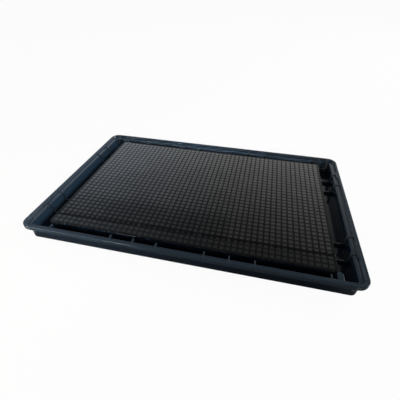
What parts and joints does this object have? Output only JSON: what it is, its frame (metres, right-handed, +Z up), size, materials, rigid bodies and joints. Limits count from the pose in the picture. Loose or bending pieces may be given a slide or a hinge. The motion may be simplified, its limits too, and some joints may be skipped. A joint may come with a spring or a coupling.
{
  "type": "microplate",
  "caption": "Low rectangular microplate lying turned over: black moulded body with a flanged rim, a grid of square wells and a clear film that closes their bottoms.",
  "frame": {"origin": "under the middle of the plate, on the surface that its deck lies on", "axes": "+X along the long side, +Y along the short side away from the picture's viewer, +Z up through the film and the open underside"},
  "size_m": [0.1278, 0.0854, 0.0073],
  "materials": {
    "black_plastic": "glossy moulded",
    "clear_film": "clear glossy"
  },
  "bodies": {
    "root": {"plate_body": "black_plastic", "bottom_film": "clear_film"}
  },
  "joints": []
}
